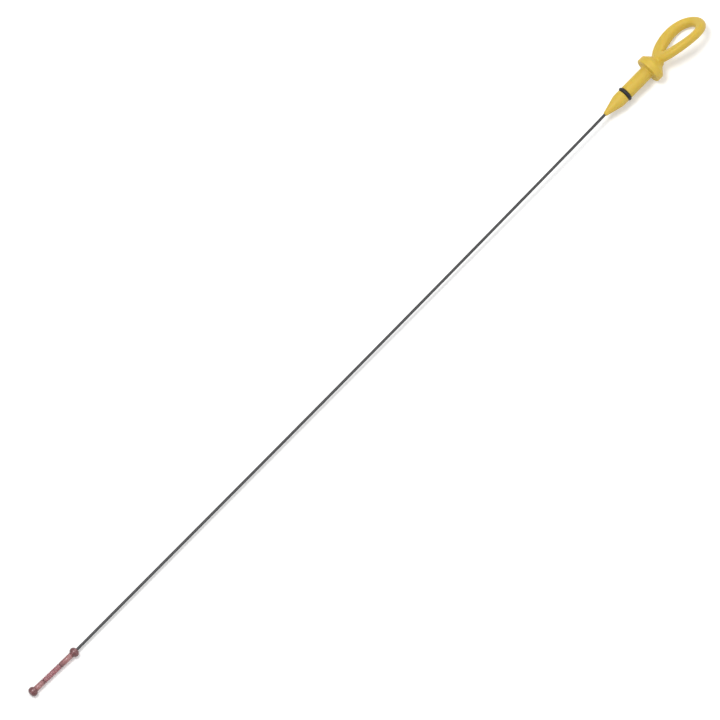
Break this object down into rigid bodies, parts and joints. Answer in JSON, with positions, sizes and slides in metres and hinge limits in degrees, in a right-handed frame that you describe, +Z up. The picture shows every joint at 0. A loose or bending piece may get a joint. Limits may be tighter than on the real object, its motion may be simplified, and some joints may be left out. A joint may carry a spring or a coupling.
{
  "type": "engine oil dipstick",
  "caption": "Engine oil dipstick lying on its side: moulded finger-loop handle with tube collar, sealing ring and cone, thin steel wire, and moulded level gauge with full and low marks.",
  "frame": {"origin": "on the stick's own axis, in the plane of the collar's face that seats on the dipstick tube", "axes": "+X along the stick from the level gauge to the finger loop, 0.6 degrees off the stick's own axis because it lies on its collar and its gauge; +Z up from the surface it lies on"},
  "size_m": [0.7154, 0.0249, 0.0246],
  "materials": {
    "handle": "satin moulded nylon",
    "o_ring": "matte rubber",
    "wire": "dark drawn wire",
    "level_gauge": "glossy, slightly clear nylon"
  },
  "bodies": {
    "root": {"handle": "handle", "o_ring": "o_ring", "wire": "wire", "level_gauge": "level_gauge"}
  },
  "joints": []
}
